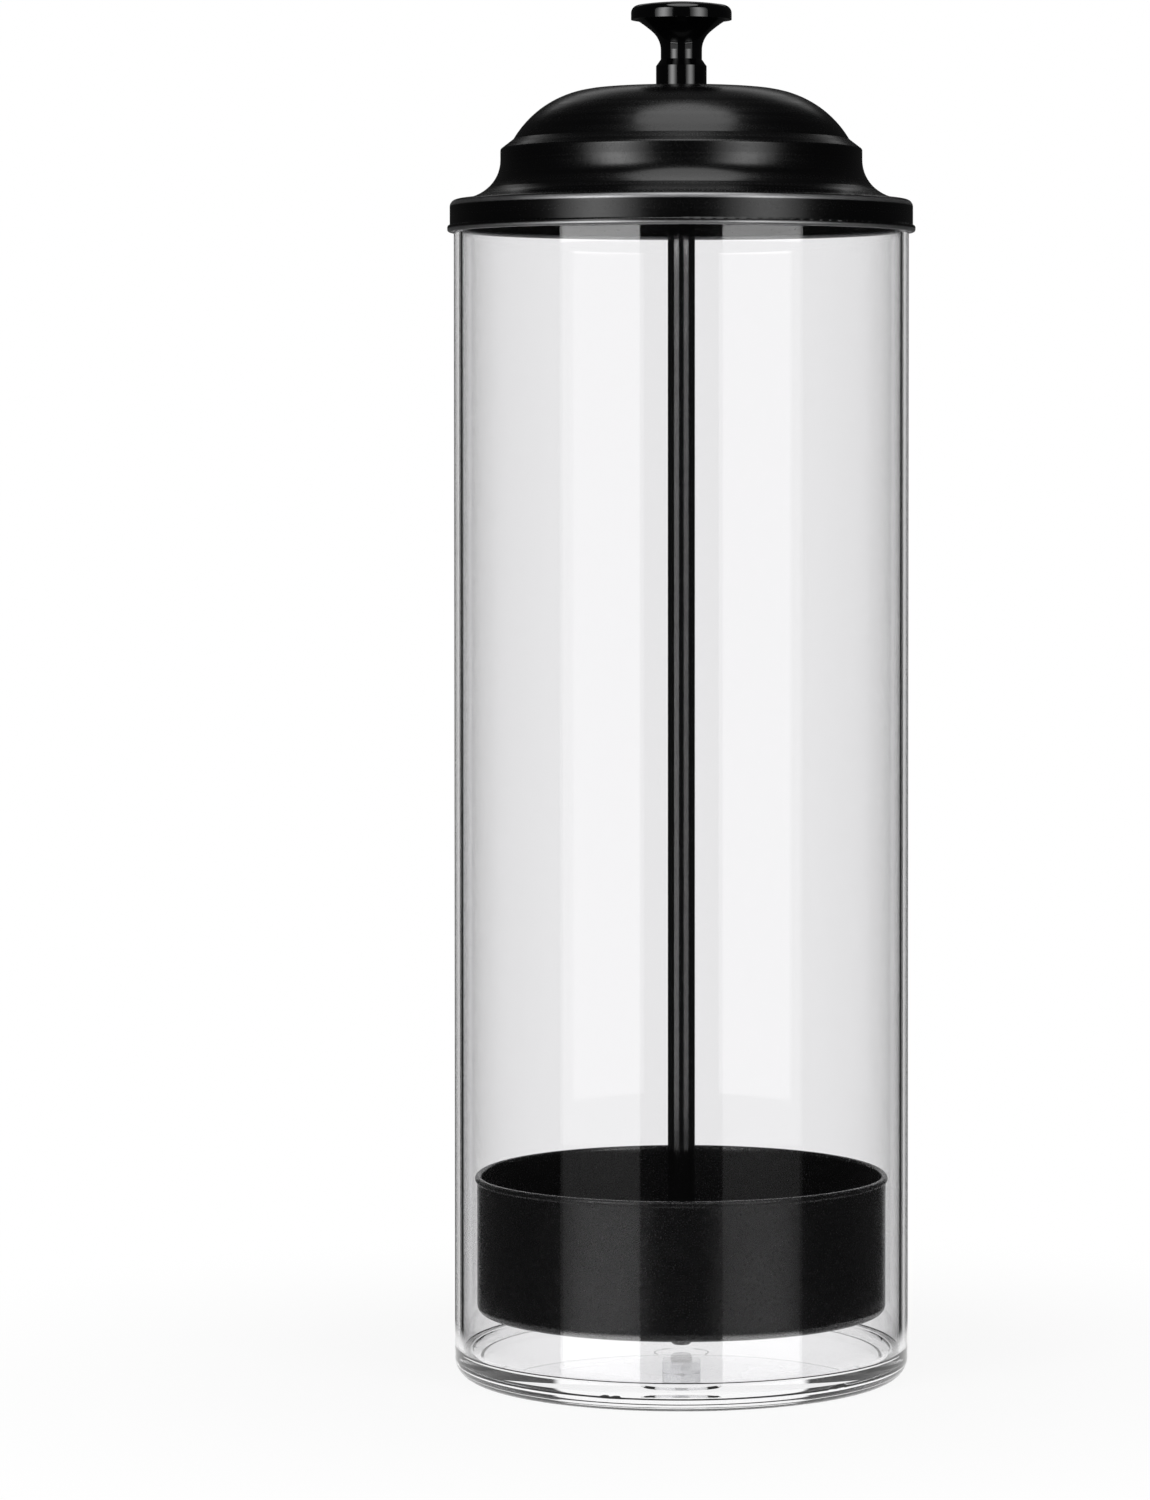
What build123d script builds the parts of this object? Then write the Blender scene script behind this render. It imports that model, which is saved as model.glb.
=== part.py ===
"""Straw dispenser with a pull-up lid.

A clear acrylic tube stands on a bonded base disc. A spun steel lid sits over
the top of the tube. A turned knob and a rod clamp the lid between them, and
the rod carries a drawn cup that the straws stand in. Lifting the knob raises
lid, rod and cup together, so the straws rise out of the tube and fan out.

Frame: millimetres, +Z up, origin at the centre of the foot. Every piece is
round about Z, apart from the hexagon nut. Profiles are drawn in the XZ plane,
with X as the radius and the sketch's Y as the height.
"""
from math import cos, radians, sin, tan
import os

from build123d import *

# ---- Driving dimensions, in millimetres ------------------------------------

# Clear tube: plain acrylic tube with polished ends
tube_outer_radius = 41.35
tube_wall = 1.5
tube_length = 208.3
tube_edge_radius = 0.5

# Base disc: moulded, bonded under the tube
base_thickness = 5.4
base_corner_radius = 3.5
floor_depth = 0.8
floor_land_width = 1.65
floor_slope_width = 0.5
foot_ring_width = 1.2
foot_slope_width = 0.6
foot_recess_depth = 0.12
gate_recess_radius = 5.0
gate_recess_depth = 0.25

# Lid: one piece of spun sheet steel
lid_sheet = 0.5
lid_clearance = 0.25
lid_seat_gap = 0.1
skirt_height = 5.9
skirt_corner_radius = 1.3
hem_height = 1.3
hem_fold = 0.45
cove_width = 7.9
cove_height = 7.2
cove_turns = (50, 40)
step_wall_height = 1.95
step_corner_radius = 0.6
step_ledge_width = 2.35
step_ledge_rise = 1.8
dome_rise = 9.55
dome_turns = (-4, -55.5)
crown_land_radius = 5.5

# Knob: one turned piece
collar_radius = 4.6
collar_height = 3.8
collar_shoulder = 1.2
neck_radius = 3.75
neck_length = 1.7
flare_radius = 8.2
flare_height = 5.5
flare_turns = (-49, -9)
head_radius = 9.15
head_height = 2.4
head_crown = 0.8
head_edge_radius = 1.4
knob_edge_radius = 0.3
knob_thread_depth = 8.5

# Rod and its fasteners: 5 mm rod, turned down to M4 at both ends
rod_radius = 2.5
thread_radius = 2.0
thread_clearance = 0.05
hole_clearance = 0.15
rod_chamfer = 0.4
knob_engagement = 7.5
washer_radius = 4.5
washer_thickness = 0.8
washer_edge_break = 0.1
nut_across_flats = 7.0
nut_height = 3.2
lock_nut_height = 2.2
nut_chamfer_angle = 30.0
tip_beyond_nut = 1.05
tip_clearance = 0.9

# Straw cup: drawn aluminium
cup_clearance = 2.55
cup_wall = 0.8
cup_height = 25.0
cup_corner_radius = 1.5
cup_bead_radius = 0.6

# ---- Heights and radii that follow -----------------------------------------

tube_inner_radius = tube_outer_radius - tube_wall
tube_top_z = base_thickness + tube_length
floor_z = base_thickness - floor_depth

skirt_inner_radius = tube_outer_radius + lid_clearance
skirt_outer_radius = skirt_inner_radius + lid_sheet
flange_z = tube_top_z + lid_seat_gap + lid_sheet
hem_z = flange_z - skirt_height
step_radius = skirt_outer_radius - skirt_corner_radius - cove_width
dome_foot_radius = step_radius - step_ledge_width
cove_z = flange_z + cove_height
step_z = cove_z + step_wall_height
dome_foot_z = step_z + step_ledge_rise
crown_z = dome_foot_z + dome_rise

hole_radius = thread_radius + hole_clearance
spigot_radius = thread_radius - thread_clearance
rod_top_z = crown_z - lid_sheet - washer_thickness

cup_radius = tube_inner_radius - cup_clearance
rod_tip_z = floor_z + tip_clearance
lock_nut_z = rod_tip_z + tip_beyond_nut
nut_z = lock_nut_z + lock_nut_height
cup_z = nut_z + nut_height
rod_foot_z = cup_z + cup_wall
cup_rim_z = cup_z + cup_height


def arc_pair(start, end, heading, turns):
    """Two tangent arcs from start to end. The first leaves at the heading, and the
    arcs turn by the two angles, in degrees; their radii follow from the end point."""
    reach = Vector(*end) - Vector(*start)
    way = 1 if turns[0] > 0 else -1
    begin = radians(heading)
    middle = begin + radians(turns[0])
    finish = middle + radians(turns[1])
    first = Vector(sin(middle) - sin(begin), cos(begin) - cos(middle)) * way
    second = Vector(sin(finish) - sin(middle), cos(middle) - cos(finish)) * way
    cross = first.X * second.Y - first.Y * second.X
    first_radius = (reach.X * second.Y - reach.Y * second.X) / cross
    second_radius = (first.X * reach.Y - first.Y * reach.X) / cross
    arc = JernArc(start, (cos(begin), sin(begin)), first_radius, turns[0])
    JernArc(arc @ 1, arc % 1, second_radius, turns[1])


def clear_tube():
    """Plain tube that stands on the base disc, its top edges flame-polished."""
    with BuildPart() as tube:
        with BuildSketch(Plane.XZ):
            with Locations((tube_inner_radius, base_thickness)):
                Rectangle(tube_wall, tube_length, align=Align.MIN)
        revolve(axis=Axis.Z)
        fillet(tube.faces().sort_by(Axis.Z)[-1].edges(), tube_edge_radius)
    return tube.part


def base_disc():
    """Solid disc: flat land under the tube, sunk floor, low foot ring and a gate mark."""
    land_inner = tube_inner_radius - floor_land_width
    floor_radius = land_inner - floor_slope_width
    foot_outer = tube_outer_radius - base_corner_radius
    foot_inner = foot_outer - foot_ring_width
    gate_z = foot_recess_depth + gate_recess_depth
    with BuildPart() as disc:
        with BuildSketch(Plane.XZ):
            with BuildLine():
                Polyline(
                    (foot_outer, 0),
                    (foot_inner, 0),
                    (foot_inner - foot_slope_width, foot_recess_depth),
                    (gate_recess_radius, foot_recess_depth),
                    (gate_recess_radius - gate_recess_depth, gate_z),
                    (0, gate_z),
                    (0, floor_z),
                    (floor_radius, floor_z),
                    (land_inner, base_thickness),
                    (tube_outer_radius, base_thickness),
                    (tube_outer_radius, base_corner_radius),
                )
                RadiusArc(
                    (tube_outer_radius, base_corner_radius),
                    (foot_outer, 0),
                    base_corner_radius,
                )
            make_face()
        revolve(axis=Axis.Z)
    return disc.part


def lid_outline():
    """The lid's outer line, from the rod hole out and down to the hem."""
    land = (crown_land_radius, crown_z)
    dome_foot = (dome_foot_radius, dome_foot_z)
    cove_top = (step_radius, cove_z)
    cove_end = (step_radius + cove_width, flange_z)
    skirt_top = (skirt_outer_radius, flange_z - skirt_corner_radius)
    Line((hole_radius, crown_z), land)
    arc_pair(land, dome_foot, 0, dome_turns)
    FilletPolyline(
        dome_foot, (step_radius, step_z), cove_top, radius=step_corner_radius
    )
    arc_pair(cove_top, cove_end, -90, cove_turns)
    RadiusArc(cove_end, skirt_top, skirt_corner_radius)
    Line(skirt_top, (skirt_outer_radius, hem_z + hem_height / 2))


def lid_shell():
    """Dome, step, cove and skirt of one sheet, its lower edge folded to a hem."""
    hem_width = lid_sheet + hem_fold
    with BuildPart() as lid:
        with BuildSketch(Plane.XZ):
            with BuildLine():
                lid_outline()
                offset(amount=lid_sheet, side=Side.RIGHT)
            make_face()
            with Locations((skirt_inner_radius + hem_width / 2, hem_z + hem_height / 2)):
                SlotOverall(hem_height, hem_width, rotation=90)
        revolve(axis=Axis.Z)
    return lid.part


def pull_knob():
    """Turned knob: collar on the lid, neck, trumpet flare and a domed head."""
    collar_top_z = crown_z + collar_height
    neck_z = collar_top_z + collar_shoulder
    flare_z = neck_z + neck_length
    head_z = flare_z + flare_height
    head_edge_z = head_z + head_height
    knob_top_z = head_edge_z + head_crown
    thread_end_z = crown_z + knob_thread_depth
    with BuildPart() as knob:
        with BuildSketch(Plane.XZ) as section:
            with BuildLine():
                Polyline(
                    (0, knob_top_z),
                    (0, thread_end_z),
                    (thread_radius, thread_end_z),
                    (thread_radius, crown_z),
                    (collar_radius, crown_z),
                    (collar_radius, collar_top_z),
                    (neck_radius, neck_z),
                    (neck_radius, flare_z),
                )
                arc_pair((neck_radius, flare_z), (flare_radius, head_z), 90, flare_turns)
                Polyline(
                    (flare_radius, head_z),
                    (head_radius, head_z),
                    (head_radius, head_edge_z),
                )
                TangentArc((0, knob_top_z), (head_radius, head_edge_z), tangent=(1, 0))
            make_face()
            head_corners = section.vertices().group_by(Axis.X)[-1].sort_by(Axis.Y)
            fillet(head_corners[-1], head_edge_radius)
            fillet(head_corners[0], knob_edge_radius)
        revolve(axis=Axis.Z)
    return knob.part


def lift_rod():
    """Rod with a shoulder and a threaded spigot at each end."""
    top_z = crown_z + knob_engagement
    with BuildPart() as rod:
        with BuildSketch(Plane.XZ):
            Polygon(
                (0, rod_tip_z),
                (spigot_radius - rod_chamfer, rod_tip_z),
                (spigot_radius, rod_tip_z + rod_chamfer),
                (spigot_radius, rod_foot_z),
                (rod_radius, rod_foot_z),
                (rod_radius, rod_top_z),
                (spigot_radius, rod_top_z),
                (spigot_radius, top_z - rod_chamfer),
                (spigot_radius - rod_chamfer, top_z),
                (0, top_z),
                align=None,
            )
        revolve(axis=Axis.Z)
    return rod.part


def straw_cup():
    """Drawn cup with a rolled rim; the rod passes through the middle of its floor."""
    bead_centre_r = cup_radius - cup_wall + cup_bead_radius
    with BuildPart() as cup:
        with BuildSketch(Plane.XZ):
            with BuildLine():
                FilletPolyline(
                    (hole_radius, cup_z),
                    (cup_radius, cup_z),
                    (cup_radius, cup_rim_z - cup_bead_radius),
                    radius=cup_corner_radius,
                )
                offset(amount=cup_wall, side=Side.LEFT)
            make_face()
            with Locations((bead_centre_r, cup_rim_z - cup_bead_radius)):
                Circle(cup_bead_radius)
        revolve(axis=Axis.Z)
    return cup.part


def lid_washer():
    """Flat washer between the rod's shoulder and the underside of the lid."""
    with BuildPart() as washer:
        with Locations((0, 0, rod_top_z)):
            Cylinder(
                washer_radius,
                washer_thickness,
                align=(Align.CENTER, Align.CENTER, Align.MIN),
            )
            Hole(hole_radius)
        chamfer(washer.edges().filter_by(GeomType.CIRCLE), washer_edge_break)
    return washer.part


def hex_nut(bottom_z, height):
    """Hexagon nut with both faces chamfered round its corners."""
    flat_radius = nut_across_flats / 2
    corner_radius = flat_radius / cos(radians(30))
    drop = (corner_radius - flat_radius) * tan(radians(nut_chamfer_angle))
    top_z = bottom_z + height
    with BuildPart() as nut:
        with BuildSketch(Plane.XY.offset(bottom_z)):
            RegularPolygon(flat_radius, 6, major_radius=False, rotation=30)
            Circle(thread_radius, mode=Mode.SUBTRACT)
        extrude(amount=height)
        with BuildSketch(Plane.XZ):
            Polygon(
                (0, bottom_z),
                (flat_radius, bottom_z),
                (corner_radius, bottom_z + drop),
                (corner_radius, top_z - drop),
                (flat_radius, top_z),
                (0, top_z),
                align=None,
            )
        revolve(axis=Axis.Z, mode=Mode.INTERSECT)
    return nut.part


def main():
    pieces = {
        "base_disc": base_disc(),
        "clear_tube": clear_tube(),
        "lid_shell": lid_shell(),
        "pull_knob": pull_knob(),
        "lid_washer": lid_washer(),
        "lift_rod": lift_rod(),
        "straw_cup": straw_cup(),
        "cup_nut": hex_nut(nut_z, nut_height),
        "lock_nut": hex_nut(lock_nut_z, lock_nut_height),
    }
    os.makedirs("parts", exist_ok=True)
    for name, piece in pieces.items():
        export_step(piece, f"parts/{name}.step")
    box = Compound(children=list(pieces.values())).bounding_box()
    print(f"overall {box.size.X:.2f} x {box.size.Y:.2f} x {box.size.Z:.2f} mm")


if __name__ == "__main__":
    main()
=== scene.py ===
"""Looks of a straw dispenser: a clear acrylic jar, a black lid with its knob, rod and cup, and a studio."""

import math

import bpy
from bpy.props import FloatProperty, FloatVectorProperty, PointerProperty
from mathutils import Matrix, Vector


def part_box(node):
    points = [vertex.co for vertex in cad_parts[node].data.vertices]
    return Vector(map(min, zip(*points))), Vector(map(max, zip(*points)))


bl_info = {
    "name": "Straw Dispenser Looks",
    "version": (1, 0, 0),
    "blender": (4, 5, 0),
    "location": "View3D > Sidebar > Dispenser",
    "description": "Finishes a straw dispenser in clear acrylic and black metal, and sets up its studio",
    "category": "Object",
}

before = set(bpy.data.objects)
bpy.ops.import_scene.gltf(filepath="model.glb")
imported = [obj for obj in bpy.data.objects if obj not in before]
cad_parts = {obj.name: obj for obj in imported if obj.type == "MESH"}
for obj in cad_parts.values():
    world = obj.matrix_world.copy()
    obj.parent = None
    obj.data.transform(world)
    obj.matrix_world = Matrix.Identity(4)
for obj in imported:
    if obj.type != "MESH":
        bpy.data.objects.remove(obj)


def beside(level, start, end):
    """The range that lies start to end metres beyond a level."""
    return level + start, level + end


# Sizes of the pieces, in metres.
JAR_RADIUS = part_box("clear_tube")[1][0]
JAR_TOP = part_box("clear_tube")[1][2]
LID_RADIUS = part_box("lid_shell")[1][0]
LID_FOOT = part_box("lid_shell")[0][2]
CUP_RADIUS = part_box("straw_cup")[1][0]
CUP_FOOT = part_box("straw_cup")[0][2]

# Where a finish changes on a piece, as distances from its axis or heights: each range is a soft edge.
LID_SIDE = beside(LID_RADIUS, -0.00135, -0.00075)
HEM_LINE = beside(LID_FOOT, 0.0004, 0.0008)
CORNER_FOOT = beside(JAR_TOP, -0.0007, -0.0004)
CORNER_TOP = beside(JAR_TOP, 0.0, 0.0003)
CUP_UNDERSIDE = beside(CUP_FOOT, 0.00015, 0.00035)
CUP_OVERSPRAY = beside(CUP_RADIUS, -0.0025, -0.0019)

# The parts of a noise's range over which a roughness or a wear mask goes from its lowest to its highest.
LID_PART = (0.35, 0.65)
GLOSS_PART = (0.35, 0.75)
METAL_PART = (0.3, 0.7)
SMEAR_PART = (0.55, 0.85)

# Stretch of a noise along the tube, for long smears and for the longer ripples that drawing leaves.
SMEAR_STRETCH = (1, 1, 0.35)
RIPPLE_STRETCH = (1, 1, 0.04)

# Heights in the front of the tube, in metres, at which the mirror image of a softbox goes over from its foot
# to its waist, its main part, its bright strip, and the hot upper part that only the lid mirrors.
FOOT_TO_WAIST = (0.0132, 0.0140)
WAIST_TO_MAIN = (0.0458, 0.0474)
MAIN_TO_STRIP = (0.2053, 0.2058)
STRIP_TO_UPPER = (0.2097, 0.2126)

# The white wall and the light strip behind the dispenser: cosines of the angle sideways from straight behind,
# and sines of the angle upwards.
WALL_SIDE = (0.915, 0.93)
STRIP_SIDE = (0.90, 0.95)
STRIP_FOOT = (0.39, 0.44)
STRIP_TOP = (0.46, 0.72)

WHITE = (1, 1, 1, 1)


# --- Shader maths ---------------------------------------------------------------------------------


class Value:
    """One output of a shader node. Maths on it adds the nodes that work it out."""

    def __init__(self, shader, socket):
        self.shader = shader
        self.socket = socket

    def maths(self, operation, *operands):
        made = self.shader.node("ShaderNodeMath", {"operation": operation})
        for place, operand in enumerate(operands):
            self.shader.fill(made.inputs[place], operand)
        return Value(self.shader, made.outputs[0])

    def __add__(self, other):
        return self.maths("ADD", self, other)

    def __sub__(self, other):
        return self.maths("SUBTRACT", self, other)

    def __rsub__(self, other):
        return self.maths("SUBTRACT", other, self)

    def __mul__(self, other):
        return self.maths("MULTIPLY", self, other)

    def __truediv__(self, other):
        return self.maths("DIVIDE", self, other)

    def __pow__(self, other):
        return self.maths("POWER", self, other)

    def __lt__(self, other):
        return self.maths("LESS_THAN", self, other)

    __radd__ = __add__
    __rmul__ = __mul__


class Shader:
    """The node tree of a material or of the world."""

    def __init__(self, owner):
        owner.use_nodes = True
        self.tree = owner.node_tree
        self.tree.nodes.clear()

    def fill(self, socket, content):
        """Sets a socket to a number or colour, or links a Value or a node's first output to it."""
        if isinstance(content, Value):
            self.tree.links.new(content.socket, socket)
        elif isinstance(content, bpy.types.Node):
            self.tree.links.new(content.outputs[0], socket)
        else:
            socket.default_value = content

    def node(self, kind, settings=None, sockets=None):
        """Adds one node, with its settings first and then what its sockets hold."""
        made = self.tree.nodes.new(kind)
        for name, setting in (settings or {}).items():
            setattr(made, name, setting)
        for name, content in (sockets or {}).items():
            self.fill(made.inputs[name], content)
        return made

    def value(self, kind, output, settings=None, sockets=None):
        """Adds one node and gives one of its outputs."""
        return Value(self, self.node(kind, settings, sockets).outputs[output])

    def values(self, kind, outputs, sockets=None):
        """Adds one node and gives several of its outputs."""
        made = self.node(kind, None, sockets)
        return [Value(self, made.outputs[output]) for output in outputs]

    def place(self, scale=(1, 1, 1)):
        """The point on the piece, in metres, stretched by scale."""
        point = self.value("ShaderNodeTexCoord", "Object")
        return self.value("ShaderNodeMapping", 0, None, {"Vector": point, "Scale": scale})

    def noise(self, size, detail=3.0, stretch=(1, 1, 1)):
        """Cloudy noise whose blots are about size metres wide, from 0 to 1."""
        sockets = {"Vector": self.place(stretch), "Scale": 1 / size, "Detail": detail}
        return self.value("ShaderNodeTexNoise", "Fac", {"noise_dimensions": "3D"}, sockets)

    def flat_length(self, vector):
        """The length of a vector, seen from above."""
        flat = self.node("ShaderNodeVectorMath", {"operation": "MULTIPLY"}, {0: vector, 1: (1, 1, 0)})
        return self.value("ShaderNodeVectorMath", "Value", {"operation": "LENGTH"}, {0: flat})

    def reach(self):
        """How far the point on the piece is from the piece's axis, in metres."""
        return self.flat_length(self.place())

    def height(self):
        """How high the point on the piece is, in metres."""
        return self.value("ShaderNodeSeparateXYZ", "Z", None, {0: self.place()})

    def rings(self, size, detail=3.0):
        """Noise in rings about the axis, size metres apart, as a spinning or turning tool leaves it."""
        sweep = self.node("ShaderNodeCombineXYZ", None, {0: self.reach(), 2: self.height()})
        sockets = {"Vector": sweep, "Scale": 1 / size, "Detail": detail}
        return self.value("ShaderNodeTexNoise", "Fac", {"noise_dimensions": "3D"}, sockets)

    def spread(self, source, low, high, start=0.0, end=1.0):
        """Source's range start to end, eased onto low to high."""
        settings = {"interpolation_type": "SMOOTHSTEP"}
        sockets = {"Value": source, "From Min": start, "From Max": end, "To Min": low, "To Max": high}
        return self.value("ShaderNodeMapRange", 0, settings, sockets)

    def over(self, source, edge):
        """0 below a soft edge and 1 beyond it."""
        return self.spread(source, 0.0, 1.0, *edge)

    def under(self, source, edge):
        """1 below a soft edge and 0 beyond it."""
        return self.spread(source, 1.0, 0.0, *edge)

    def none_yet(self, count):
        """1 while a ray's count of glossy or clear faces is 0, and 0 after that."""
        return count < 0.5

    def rougher(self, source, roughness, change, part):
        """A roughness that grows by change over a part of the source's range."""
        return self.spread(source, roughness, roughness + change, *part)

    def bump(self, height, depth, strength):
        """A normal for a relief of depth metres."""
        sockets = {"Height": height, "Distance": depth, "Strength": strength}
        return self.value("ShaderNodeBump", 0, None, sockets)

    def tint(self, share, first, second):
        """The colour that lies share of the way from first to second."""
        made = self.node("ShaderNodeMix", {"data_type": "RGBA"})
        self.fill(made.inputs[0], share)
        self.fill(made.inputs[6], (*first, 1))
        self.fill(made.inputs[7], (*second, 1))
        return Value(self, made.outputs[2])

    def mixed(self, share, first, second):
        """A shader that is share of second and the rest of first."""
        return self.value("ShaderNodeMixShader", 0, None, {0: share, 1: first, 2: second})

    def finish(self, surface):
        """Gives the material its surface."""
        self.node("ShaderNodeOutputMaterial", None, {"Surface": surface})


def new_material(name):
    material = bpy.data.materials.new(name)
    return material, Shader(material)


def dress(node, material):
    """Gives a carried-over node one material all over."""
    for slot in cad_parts[node].material_slots:
        slot.link = "OBJECT"
        slot.material = material


# --- Settings -------------------------------------------------------------------------------------


def share_of(name, description, default):
    """A setting from 0 to 1."""
    return FloatProperty(name=name, description=description, subtype="FACTOR", min=0, max=1, default=default)


def length_of(name, description, default):
    """A setting in metres."""
    return FloatProperty(
        name=name, description=description, subtype="DISTANCE", unit="LENGTH", min=0, precision=5,
        default=default)


def colour_of(name, description, default):
    """A colour setting."""
    return FloatVectorProperty(
        name=name, description=description, subtype="COLOR", size=3, min=0, max=1, default=default)


def level_of(name, description, default):
    """A setting for a plain number that isn't negative."""
    return FloatProperty(name=name, description=description, min=0, default=default)


class AcrylicSettings(bpy.types.PropertyGroup):
    """How clear the jar is."""

    colour: colour_of("Colour", "Tint of light that has passed through a wall", (0.962, 0.96, 0.966))
    shade: colour_of("Shadow Colour", "Tint of a lamp's light behind a wall", (0.92, 0.92, 0.925))
    bending: level_of("Refractive Index", "How strongly the acrylic bends light", 1.49)
    polish: share_of("Roughness", "Roughness of the polished faces", 0.004)
    smeared: share_of("Smear Roughness", "Roughness that wiping adds where it leaves a smear", 0.02)
    smear: length_of("Smear Size", "Width of the smears", 0.035)
    ripple: length_of("Ripple Size", "Width of the long ripples from drawing", 0.012)
    ripple_depth: length_of("Ripple Depth", "Depth of the ripples", 0.00001)
    tube_waviness: share_of("Tube Waviness", "How much the ripples show in the tube", 0.2)
    base_waviness: share_of("Base Waviness", "How much the ripples show in the base", 0.02)


class BlackMetalSettings(bpy.types.PropertyGroup):
    """The black finishes."""

    colour: colour_of("Colour", "Colour of the black coat", (0.0008, 0.0008, 0.0009))
    rubbed: colour_of("Rubbed Edge", "Colour of the steel where the coat has rubbed thin", (0.62, 0.62, 0.63))
    bare: colour_of("Bare Underside", "Colour of the cup's aluminium underside", (0.91, 0.91, 0.92))
    clouding: level_of("Clouding", "How many times paler the coat is where it is clouded", 1.8)
    cloud: length_of("Cloud Size", "Width of the clouds in the satin coat", 0.02)
    gloss_cloud: length_of("Gloss Cloud Size", "Width of the clouds in the gloss coat", 0.006)
    corner_wear: share_of("Corner Wear", "How far the corner of the lid's edge is rubbed", 0.6)
    hem_wear: share_of("Hem Wear", "How far the foot of the lid's edge is rubbed", 0.85)
    least_wear: share_of("Least Wear", "How much of that wear is left where it is patchy", 0.7)
    satin: share_of("Satin Roughness", "Roughness of the lid's and cup's satin coat", 0.24)
    gloss: share_of("Gloss Roughness", "Roughness of the knob's and rod's gloss coat", 0.06)
    rubbed_roughness: share_of("Rubbed Roughness", "Roughness of the rubbed edges", 0.4)
    bare_roughness: share_of("Bare Roughness", "Roughness of the bare underside", 0.2)
    lid_change: share_of("Lid Roughness Change", "How far the lid's roughness varies either way", 0.05)
    coat_change: share_of("Coat Roughness Change", "How much rougher the other coats are in places", 0.04)
    metal_change: share_of("Metal Roughness Change", "How much rougher bare metal is in places", 0.1)
    satin_bending: level_of("Satin Refractive Index", "How strongly the satin coat mirrors", 1.43)
    knob_bending: level_of("Knob Refractive Index", "How strongly the knob's coat mirrors", 1.5)
    rod_bending: level_of("Rod Refractive Index", "How strongly the rod's coat mirrors", 2.1)
    grain: length_of("Grain", "Width of the fine grain in the satin coat", 0.0003)
    spinning: length_of("Spinning Lines", "From one spinning line of the lid to the next", 0.0011)
    turning: length_of("Turning Lines", "From one turning line of the knob and rod to the next", 0.0005)
    lid_depth: length_of("Lid Depth", "Depth of the lid's grain and spinning lines", 0.000006)
    cup_depth: length_of("Cup Depth", "Depth of the cup's grain", 0.000004)
    turned_depth: length_of("Turning Depth", "Depth of the turning lines", 0.000003)
    metal_relief: share_of("Metal Relief", "How much the relief of the lid and of bare metal shows", 0.4)
    cup_relief: share_of("Cup Relief", "How much the relief of the cup's coat shows", 0.08)
    turned_relief: share_of("Turned Relief", "How much the turning lines show", 0.3)


class FastenerSettings(bpy.types.PropertyGroup):
    """The zinc-plated nuts and washer."""

    colour: colour_of("Colour", "Colour of the zinc plating", (0.62, 0.63, 0.65))
    dulling: share_of("Dulling", "How pale the dull clouds are, where the plating's colour is 1", 0.8)
    cloud: length_of("Cloud Size", "Width of the clouds in the plating", 0.002)
    depth: length_of("Depth", "Depth of the plating's relief", 0.00001)
    relief: share_of("Relief", "How much the plating's relief shows", 0.4)
    roughness: share_of("Roughness", "Roughness of the plating", 0.1)
    change: share_of("Roughness Change", "How much rougher the plating is in places", 0.1)


class SoftboxSettings(bpy.types.PropertyGroup):
    """The two tall softboxes in front, left and right, which are brighter in some parts than in others."""

    left_strength: level_of("Left Brightness", "Radiance of the left softbox, where 1 is white", 3.6)
    right_strength: level_of("Right Brightness", "Radiance of the right softbox, where 1 is white", 2.8)
    distance: length_of("Distance", "From the dispenser's axis to a softbox's middle", 1.1)
    height: length_of("Height", "Size of a softbox upwards", 1.28)
    middle: length_of("Middle", "Height of a softbox's middle over the table", 0.38)
    turn: FloatProperty(
        name="Turn", description="Angle at the axis between the camera and a softbox's middle",
        subtype="ANGLE", default=math.radians(41.4))
    half_width: FloatProperty(
        name="Half Width", description="Half of the angle that a softbox spans, seen from the axis",
        subtype="ANGLE", default=math.radians(20.9))
    hot_share: level_of("Hot Spot", "Brightness in the middle of the upper part, where the strip is 1", 1.75)
    edge_share: level_of("Upper Edge", "Brightness at the upper part's edges, where the strip is 1", 0.3)
    hot_radius: length_of("Hot Spot Radius", "From the hot spot's middle to the dim edge", 0.4)
    main_share: level_of("Main Part", "Brightness of the main part, where the strip is 1", 0.28)
    waist_share: level_of("Waist", "Brightness of the waist, where the strip is 1", 0.055)
    foot_share: level_of("Foot", "Brightness that the foot adds, where the strip is 1", 0.8)


class StudioSettings(bpy.types.PropertyGroup):
    """Camera, lamp overhead, room and table."""

    camera_distance: length_of("Camera Distance", "From the dispenser's axis to the lens", 0.9795)
    camera_height: length_of("Camera Height", "Height of the lens over the table", 0.17405)
    aim_height: length_of("Aim Height", "Where the camera looks on the axis, over the table", 0.147)
    lens: FloatProperty(
        name="Focal Length", description="Focal length in millimetres, for a frame 36 mm high",
        min=1, default=129.07)
    shift_side: FloatProperty(
        name="Shift Sideways", description="Lens shift to the right, as a share of the frame's height",
        default=-0.0709)
    shift_up: FloatProperty(
        name="Shift Upwards", description="Lens shift upwards, as a share of the frame's height",
        default=-0.12)
    table_radius: length_of("Table Radius", "Radius of the round white table", 0.2)
    table_colour: colour_of("Table Colour", "Colour of the table where shadows fall", (0.9, 0.9, 0.9))
    table_glow: share_of("Table Glow", "How little of the shadows the middle of the table shows", 0.88)
    top_strength: level_of("Top Light Brightness", "Radiance of the lamp overhead, where 1 is white", 2.5)
    top_width: length_of("Top Light Width", "Width of the lamp overhead", 0.72)
    top_depth: length_of("Top Light Depth", "Size of the lamp overhead from front to back", 0.9)
    top_place: FloatVectorProperty(
        name="Top Light Place", description="Middle of the lamp overhead",
        subtype="TRANSLATION", unit="LENGTH", size=3, default=(0.03, -0.25, 1.1))
    back_strength: level_of("Back Light Brightness", "Radiance of the strip high behind, in reflections", 0.6)
    back_halo: share_of("Back Light Halo", "Brightness above the strip, where the strip is 1", 0.08)
    ambient: level_of("Ambient Light", "Radiance of the room on matt surfaces, where 1 is white", 0.2)
    room: level_of("Room In Reflections", "Radiance of the dark side of the room in reflections", 0.02)


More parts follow.
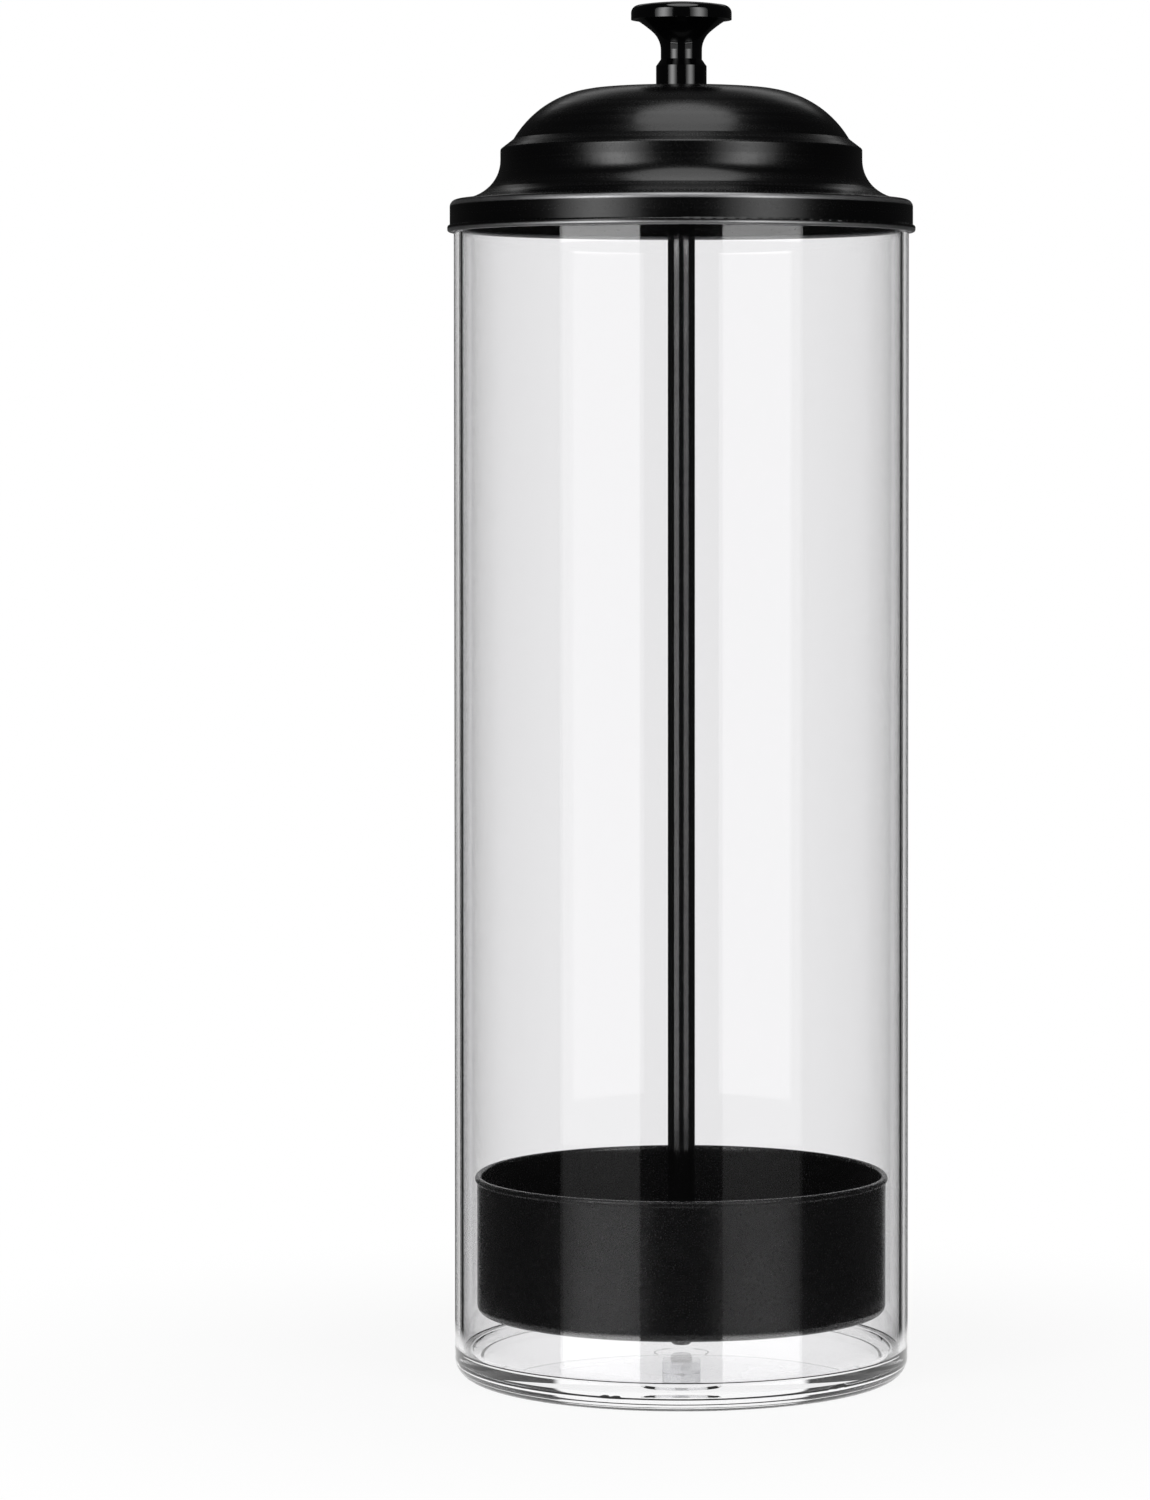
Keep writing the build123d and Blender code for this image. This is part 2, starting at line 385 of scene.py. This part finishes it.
class DispenserSettings(bpy.types.PropertyGroup):
    """All that a user may change."""

    acrylic: PointerProperty(type=AcrylicSettings)
    black: PointerProperty(type=BlackMetalSettings)
    fasteners: PointerProperty(type=FastenerSettings)
    softbox: PointerProperty(type=SoftboxSettings)
    studio: PointerProperty(type=StudioSettings)


# --- Finishes -------------------------------------------------------------------------------------


def clear_acrylic(settings, name, waviness):
    """Polished clear acrylic that lets the lamps through to what stands behind it."""
    material, shader = new_material(name)
    smears = shader.spread(
        shader.noise(settings.smear, stretch=SMEAR_STRETCH), 0.0, settings.smeared, *SMEAR_PART)
    ripple = shader.noise(settings.ripple, detail=1.0, stretch=RIPPLE_STRETCH)
    glass = shader.node("ShaderNodeBsdfPrincipled", None, {
        "Base Color": (*settings.colour, 1),
        "IOR": settings.bending,
        "Transmission Weight": 1.0,
        "Roughness": smears + settings.polish,
        "Normal": shader.bump(ripple, settings.ripple_depth, waviness),
    })
    passing = shader.node("ShaderNodeBsdfTransparent", None, {"Color": (*settings.shade, 1)})
    shadow, diffuse = shader.values("ShaderNodeLightPath", ("Is Shadow Ray", "Is Diffuse Ray"))
    shader.finish(shader.mixed(diffuse, shader.mixed(shadow, glass, passing), passing))
    return material


def black_coat(shader, settings, cloud, bending, roughness, relief):
    """A clouded black coat."""
    return shader.node("ShaderNodeBsdfPrincipled", None, {
        "Base Color": shader.tint(cloud, settings.colour, [settings.clouding * c for c in settings.colour]),
        "IOR": bending,
        "Roughness": roughness,
        "Normal": relief,
    })


def bare_metal(shader, colour, roughness, relief):
    """A bare metal surface."""
    return shader.node("ShaderNodeBsdfPrincipled", None, {
        "Base Color": colour,
        "Metallic": 1.0,
        "Roughness": roughness,
        "Normal": relief,
    })


def spun_lid_black(settings):
    """Satin black coat on spun steel, in which the spinning lines still show, rubbed bright at two edges."""
    material, shader = new_material("satin_black_coat")
    grain = shader.noise(settings.grain)
    cloud = shader.noise(settings.cloud)
    texture = 0.5 * grain + 0.5 * shader.rings(settings.spinning)
    relief = shader.bump(texture, settings.lid_depth, settings.metal_relief)
    smoothest, roughest = settings.satin - settings.lid_change, settings.satin + settings.lid_change
    satin = shader.spread(texture, smoothest, roughest, *LID_PART)
    coat = black_coat(shader, settings, cloud, settings.satin_bending, satin, relief)
    dull = shader.rougher(grain, settings.rubbed_roughness, settings.metal_change, METAL_PART)
    rubbed = bare_metal(shader, (*settings.rubbed, 1), dull, relief)
    height = shader.height()
    corner = shader.over(height, CORNER_FOOT) * shader.under(height, CORNER_TOP)
    lines = settings.corner_wear * corner + settings.hem_wear * shader.under(height, HEM_LINE)
    patchy = shader.spread(cloud, settings.least_wear, 1.0, *METAL_PART)
    worn = shader.over(shader.reach(), LID_SIDE) * lines * patchy
    shader.finish(shader.mixed(worn, coat, rubbed))
    return material


def drawn_cup_black(settings):
    """The same coat on the drawn cup, sprayed from outside, so that the underside is bare aluminium."""
    material, shader = new_material("cup_black_coat")
    grain = shader.noise(settings.grain)
    cloud = shader.noise(settings.cloud)
    satin = shader.rougher(grain, settings.satin, settings.coat_change, METAL_PART)
    sprayed = shader.bump(grain, settings.cup_depth, settings.cup_relief)
    coat = black_coat(shader, settings, cloud, settings.satin_bending, satin, sprayed)
    dull = shader.rougher(cloud, settings.bare_roughness, settings.metal_change, METAL_PART)
    drawn = shader.bump(grain, settings.lid_depth, settings.metal_relief)
    bare = bare_metal(shader, (*settings.bare, 1), dull, drawn)
    underside = shader.under(shader.height(), CUP_UNDERSIDE) * shader.under(shader.reach(), CUP_OVERSPRAY)
    shader.finish(shader.mixed(underside, coat, bare))
    return material


def gloss_black(settings, name, bending):
    """Gloss black plating on turned metal."""
    material, shader = new_material(name)
    cloud = shader.noise(settings.gloss_cloud)
    gloss = shader.rougher(cloud, settings.gloss, settings.coat_change, GLOSS_PART)
    lines = shader.rings(settings.turning, detail=2.0)
    relief = shader.bump(lines, settings.turned_depth, settings.turned_relief)
    shader.finish(black_coat(shader, settings, cloud, bending, gloss, relief))
    return material


def zinc_plate(settings):
    """Bright zinc plating."""
    material, shader = new_material("zinc_plating")
    cloud = shader.noise(settings.cloud)
    colour = shader.tint(cloud, [settings.dulling * c for c in settings.colour], settings.colour)
    dull = shader.rougher(cloud, settings.roughness, settings.change, METAL_PART)
    relief = shader.bump(cloud, settings.depth, settings.relief)
    shader.finish(bare_metal(shader, colour, dull, relief))
    return material


# --- Pieces ---------------------------------------------------------------------------------------


class DISPENSER_OT_jar(bpy.types.Operator):
    """Makes the tube and the base disc clear acrylic"""

    bl_idname = "dispenser.jar"
    bl_label = "Acrylic Jar"

    def execute(self, context):
        settings = context.scene.dispenser.acrylic
        dress("clear_tube", clear_acrylic(settings, "drawn_acrylic", settings.tube_waviness))
        dress("base_disc", clear_acrylic(settings, "moulded_acrylic", settings.base_waviness))
        return {"FINISHED"}


class DISPENSER_OT_lid(bpy.types.Operator):
    """Coats the spun lid and the straw cup satin black"""

    bl_idname = "dispenser.lid"
    bl_label = "Lid And Cup"

    def execute(self, context):
        settings = context.scene.dispenser.black
        dress("lid_shell", spun_lid_black(settings))
        dress("straw_cup", drawn_cup_black(settings))
        return {"FINISHED"}


class DISPENSER_OT_pull(bpy.types.Operator):
    """Plates the knob and the rod gloss black"""

    bl_idname = "dispenser.pull"
    bl_label = "Knob And Rod"

    def execute(self, context):
        settings = context.scene.dispenser.black
        dress("pull_knob", gloss_black(settings, "knob_gloss_black", settings.knob_bending))
        dress("lift_rod", gloss_black(settings, "rod_gloss_black", settings.rod_bending))
        return {"FINISHED"}


class DISPENSER_OT_fasteners(bpy.types.Operator):
    """Zinc-plates the washer and the two nuts"""

    bl_idname = "dispenser.fasteners"
    bl_label = "Nuts And Washer"

    def execute(self, context):
        zinc = zinc_plate(context.scene.dispenser.fasteners)
        for node in ("lid_washer", "cup_nut", "lock_nut"):
            dress(node, zinc)
        return {"FINISHED"}


# --- Studio ---------------------------------------------------------------------------------------


def white_table(studio):
    """A round white table that fades into the white background, so that only shadows show it.

    Glossy pieces mirror it only close to the jar.
    """
    fade_start, fade_end = 0.05, 0.9 * studio.table_radius
    mirrored_edge = (0.06, 0.08)
    bpy.ops.object.select_all(action="DESELECT")
    bpy.ops.mesh.primitive_circle_add(vertices=96, radius=studio.table_radius, fill_type="NGON")
    table = bpy.context.active_object
    table.name = "table"
    material, shader = new_material("white_table")
    matt = shader.node("ShaderNodeBsdfDiffuse", None, {"Color": (*studio.table_colour, 1)})
    white = shader.node("ShaderNodeEmission", None, {"Color": WHITE, "Strength": 1.0})
    reach = shader.reach()
    fade = shader.spread(reach, studio.table_glow, 1.0, fade_start, fade_end)
    glossy_depth = shader.value("ShaderNodeLightPath", "Glossy Depth")
    beyond = (1 - shader.none_yet(glossy_depth)) * shader.over(reach, mirrored_edge)
    nothing = shader.node("ShaderNodeBsdfTransparent")
    shader.finish(shader.mixed(beyond, shader.mixed(fade, matt, white), nothing))
    table.data.materials.append(material)


def facing(place, aim):
    """The turn that faces something at place towards a point."""
    return (Vector(aim) - Vector(place)).to_track_quat("-Z", "Y").to_euler()


def softbox_glow(name, strength, middle, box, studio):
    """The softbox's glow, which doesn't show straight through clear pieces.

    Its parts are told apart by the height at which the camera sees them mirrored in the front of the tube.
    """
    material, shader = new_material(name)
    point = shader.value("ShaderNodeNewGeometry", "Position")
    offset = shader.node("ShaderNodeVectorMath", {"operation": "SUBTRACT"}, {0: point, 1: middle})
    height = shader.value("ShaderNodeSeparateXYZ", "Z", None, {0: point})
    path_share = (shader.flat_length(point) - JAR_RADIUS) / (studio.camera_distance - JAR_RADIUS)
    mirrored = (height + path_share * studio.camera_height) / (1 + path_share)
    foot = shader.spread(mirrored, box.foot_share, 0.0, *FOOT_TO_WAIST)
    waist_and_main = shader.spread(mirrored, box.waist_share, box.main_share, *WAIST_TO_MAIN)
    strip = shader.over(mirrored, MAIN_TO_STRIP)
    upper = shader.over(mirrored, STRIP_TO_UPPER)
    hot = shader.spread(shader.flat_length(offset), box.hot_share, box.edge_share, 0.0, box.hot_radius)
    share = foot + waist_and_main * (1 - strip) + strip * (1 - upper) + upper * hot
    glow = shader.node("ShaderNodeEmission", None, {"Color": WHITE, "Strength": share * strength})
    through, glossy_depth = shader.values("ShaderNodeLightPath", ("Is Transmission Ray", "Glossy Depth"))
    nothing = shader.node("ShaderNodeBsdfTransparent")
    shader.finish(shader.mixed(through * shader.none_yet(glossy_depth), glow, nothing))
    return material


def softboxes(box, studio):
    """Two tall softboxes in front, left and right, which the camera doesn't see."""
    width = 2 * box.distance * math.tan(box.half_width)
    sides = ((-1, "softbox_left", box.left_strength), (1, "softbox_right", box.right_strength))
    for side, name, strength in sides:
        across, along = side * box.distance * math.sin(box.turn), -box.distance * math.cos(box.turn)
        place = (across, along, box.middle)
        bpy.ops.object.select_all(action="DESELECT")
        bpy.ops.mesh.primitive_plane_add(size=1, location=place, rotation=facing(place, (0, 0, box.middle)))
        softbox = bpy.context.active_object
        softbox.name = name
        softbox.scale = (width, box.height, 1)
        softbox.visible_camera = False
        softbox.data.materials.append(softbox_glow(name, strength, place, box, studio))


def top_light(studio):
    """A round lamp overhead, which the camera doesn't see."""
    light = bpy.data.lights.new("softbox_top", "AREA")
    light.shape = "ELLIPSE"
    light.size = studio.top_width
    light.size_y = studio.top_depth
    area = math.pi / 4 * light.size * light.size_y
    light.energy = math.pi * area * studio.top_strength
    lamp = bpy.data.objects.new("softbox_top", light)
    bpy.context.scene.collection.objects.link(lamp)
    lamp.location = studio.top_place
    lamp.visible_camera = False


def room_light(studio):
    """A white background to the eye and through the acrylic, and a dark room with a white wall mirrored."""
    world = bpy.data.worlds.new("studio")
    bpy.context.scene.world = world
    world.cycles.sampling_method = "NONE"
    shader = Shader(world)
    direction = shader.value("ShaderNodeTexCoord", "Generated")
    across, along, upward = shader.values("ShaderNodeSeparateXYZ", "XYZ", {0: direction})
    behind = along / (across ** 2 + along ** 2) ** 0.5
    wall = shader.over(behind, WALL_SIDE)
    strip = shader.over(upward, STRIP_FOOT) * shader.spread(upward, 1.0, studio.back_halo, *STRIP_TOP)
    back_light = shader.over(behind, STRIP_SIDE) * strip * studio.back_strength
    camera_ray, diffuse_ray, clear_ray, glossy_depth, clear_depth = shader.values("ShaderNodeLightPath", (
        "Is Camera Ray", "Is Diffuse Ray", "Is Transmission Ray", "Glossy Depth", "Transmission Depth"))
    through = 1 - shader.none_yet(clear_depth)
    white = camera_ray + clear_ray * shader.none_yet(glossy_depth)
    mirrored = studio.room + wall * through + back_light * (1 - through)
    reflected = (1 - diffuse_ray) * (1 - white) * mirrored
    strength = white + diffuse_ray * studio.ambient + reflected
    background = shader.node("ShaderNodeBackground", None, {"Color": WHITE, "Strength": strength})
    shader.node("ShaderNodeOutputWorld", None, {"Surface": background})


def camera(studio):
    """The camera, in front of the dispenser and a little above its middle."""
    data = bpy.data.cameras.new("camera")
    data.sensor_width = 36
    data.lens = studio.lens
    data.shift_x = studio.shift_side
    data.shift_y = studio.shift_up
    eye = (0, -studio.camera_distance, studio.camera_height)
    body = bpy.data.objects.new("camera", data)
    bpy.context.scene.collection.objects.link(body)
    body.location = eye
    body.rotation_euler = facing(eye, (0, 0, studio.aim_height))
    bpy.context.scene.camera = body


class DISPENSER_OT_studio(bpy.types.Operator):
    """Sets up the table, the softboxes, the lamp overhead, the white background and the camera"""

    bl_idname = "dispenser.studio"
    bl_label = "Studio"

    def execute(self, context):
        settings = context.scene.dispenser
        white_table(settings.studio)
        softboxes(settings.softbox, settings.studio)
        top_light(settings.studio)
        room_light(settings.studio)
        camera(settings.studio)
        context.scene.view_settings.view_transform = "Standard"
        return {"FINISHED"}


# --- Panel and registration -----------------------------------------------------------------------


class DISPENSER_PT_looks(bpy.types.Panel):
    """Lists the pieces and their settings"""

    bl_label = "Straw Dispenser"
    bl_idname = "DISPENSER_PT_looks"
    bl_space_type = "VIEW_3D"
    bl_region_type = "UI"
    bl_category = "Dispenser"

    def draw(self, context):
        settings = context.scene.dispenser
        for piece in PIECES:
            self.layout.operator(piece.bl_idname)
        metals = (settings.black, settings.fasteners)
        for group in (settings.acrylic, *metals, settings.softbox, settings.studio):
            box = self.layout.box()
            for name in group.bl_rna.properties.keys():
                if name not in ("rna_type", "name"):
                    box.prop(group, name)


GROUPS = (
    AcrylicSettings,
    BlackMetalSettings,
    FastenerSettings,
    SoftboxSettings,
    StudioSettings,
    DispenserSettings,
)
PIECES = (
    DISPENSER_OT_studio,
    DISPENSER_OT_jar,
    DISPENSER_OT_lid,
    DISPENSER_OT_pull,
    DISPENSER_OT_fasteners,
)
CLASSES = (*GROUPS, *PIECES, DISPENSER_PT_looks)


def register():
    for item in CLASSES:
        bpy.utils.register_class(item)
    bpy.types.Scene.dispenser = PointerProperty(type=DispenserSettings)


def unregister():
    del bpy.types.Scene.dispenser
    for item in reversed(CLASSES):
        bpy.utils.unregister_class(item)


def main():
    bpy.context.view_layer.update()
    register()
    bpy.ops.dispenser.studio()
    bpy.ops.dispenser.jar()
    bpy.ops.dispenser.lid()
    bpy.ops.dispenser.pull()
    bpy.ops.dispenser.fasteners()


if __name__ == "__main__":
    main()
